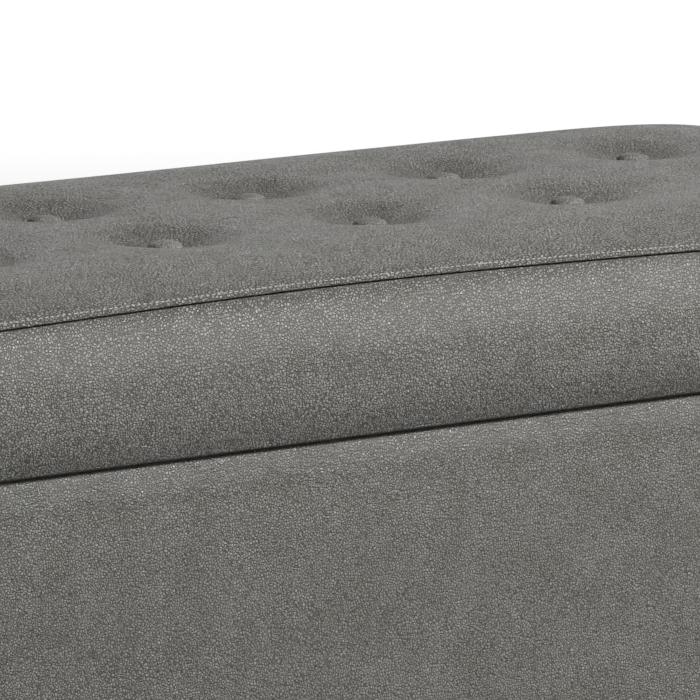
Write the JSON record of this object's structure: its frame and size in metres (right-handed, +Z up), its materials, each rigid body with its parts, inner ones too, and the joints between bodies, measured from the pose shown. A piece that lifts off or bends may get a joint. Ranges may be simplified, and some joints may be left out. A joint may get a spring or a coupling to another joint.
{
  "type": "storage bench",
  "caption": "Upholstered storage bench: padded box on short legs under a deep button-tufted lid that hinges open at the back on folding supports.",
  "frame": {"origin": "on the floor, under the middle of the bench's overall box", "axes": "+X along the bench, -Y to its front, +Y to its hinged back, +Z up"},
  "size_m": [1.219, 0.47, 0.4646],
  "materials": {
    "leather": "grey faux leather, pebbled grain, satin",
    "board": "bare plywood",
    "pine": "bare softwood",
    "stained_wood": "dark espresso stain, satin",
    "foam": "open-cell foam",
    "wadding": "polyester wadding",
    "lining": "black non-woven cloth",
    "dust_cloth": "black non-woven cloth",
    "twine": "waxed nylon twine",
    "anchor_nylon": "moulded nylon",
    "glide_plastic": "moulded nylon",
    "bumper_rubber": "soft rubber",
    "zinc_steel": "zinc plated",
    "hinge_steel": "nickel plated, satin",
    "arm_steel": "nickel plated, satin",
    "rivet_steel": "nickel plated",
    "black_metal": "black enamel",
    "black_screw": "black oxide"
  },
  "bodies": {
    "base": {"front_panel": "board", "back_panel": "board", "left_panel": "board", "right_panel": "board", "front_left_post": "pine", "front_right_post": "pine", "back_left_post": "pine", "back_right_post": "pine", "frame_screws": "zinc_steel", "floor_panel": "board", "floor_cleats": "pine", "floor_battens": "pine", "base_foam": "foam", "base_cover": "leather", "storage_lining": "lining", "base_dust_cover": "dust_cloth", "front_left_leg": "stained_wood", "front_right_leg": "stained_wood", "back_left_leg": "stained_wood", "back_right_leg": "stained_wood", "leg_bolts": "zinc_steel", "leg_tee_nuts": "zinc_steel", "foot_glides": "glide_plastic", "lid_bumpers": "bumper_rubber", "left_hinge_base_leaf": "hinge_steel", "middle_hinge_base_leaf": "hinge_steel", "right_hinge_base_leaf": "hinge_steel", "left_hinge_pin": "hinge_steel", "middle_hinge_pin": "hinge_steel", "right_hinge_pin": "hinge_steel", "hinge_base_screws": "zinc_steel", "left_support_housing": "black_metal", "right_support_housing": "black_metal", "support_base_screws": "black_screw"},
    "lid": {"lid_board": "board", "lid_foam": "foam", "lid_wadding": "wadding", "lid_band": "leather", "lid_top_panel": "leather", "lid_dust_cover": "dust_cloth", "tuft_buttons": "leather", "tuft_twines": "twine", "tuft_anchors": "anchor_nylon", "left_hinge_lid_leaf": "hinge_steel", "middle_hinge_lid_leaf": "hinge_steel", "right_hinge_lid_leaf": "hinge_steel", "hinge_lid_screws": "zinc_steel", "left_lid_bracket": "black_metal", "right_lid_bracket": "black_metal", "left_lid_rivet": "rivet_steel", "right_lid_rivet": "rivet_steel", "support_lid_screws": "black_screw"},
    "left_lower_link": {"left_lower_arm": "arm_steel", "left_knee_rivet": "rivet_steel"},
    "left_upper_link": {"left_upper_arm": "arm_steel"},
    "right_lower_link": {"right_lower_arm": "arm_steel", "right_knee_rivet": "rivet_steel"},
    "right_upper_link": {"right_upper_arm": "arm_steel"}
  },
  "joints": [
    {"name": "lid_hinge", "type": "hinge", "parent": "base", "child": "lid", "pos_m": [0, 0.2295, 0.3493], "axis": [-1, 0, 0], "range_deg": [0, 95]},
    {"name": "left_housing_pivot", "type": "hinge", "parent": "base", "child": "left_lower_link", "pos_m": [-0.56225, 0.1195, 0.3033], "axis": [-1, 0, 0], "range_deg": [-0.5, 95.5]},
    {"name": "left_bracket_pivot", "type": "hinge", "parent": "lid", "child": "left_upper_link", "pos_m": [-0.55925, 0.08016, 0.3353], "axis": [-1, 0, 0], "range_deg": [-95.5, 0.5]},
    {"name": "right_housing_pivot", "type": "hinge", "parent": "base", "child": "right_lower_link", "pos_m": [0.56225, 0.1195, 0.3033], "axis": [-1, 0, 0], "range_deg": [-0.5, 95.5]},
    {"name": "right_bracket_pivot", "type": "hinge", "parent": "lid", "child": "right_upper_link", "pos_m": [0.55925, 0.08016, 0.3353], "axis": [-1, 0, 0], "range_deg": [-95.5, 0.5]}
  ],
  "couplings": [
    {"joint": "left_housing_pivot", "follows": "lid_hinge", "ratio": 1},
    {"joint": "left_bracket_pivot", "follows": "lid_hinge", "ratio": -1},
    {"joint": "right_housing_pivot", "follows": "lid_hinge", "ratio": 1},
    {"joint": "right_bracket_pivot", "follows": "lid_hinge", "ratio": -1}
  ]
}
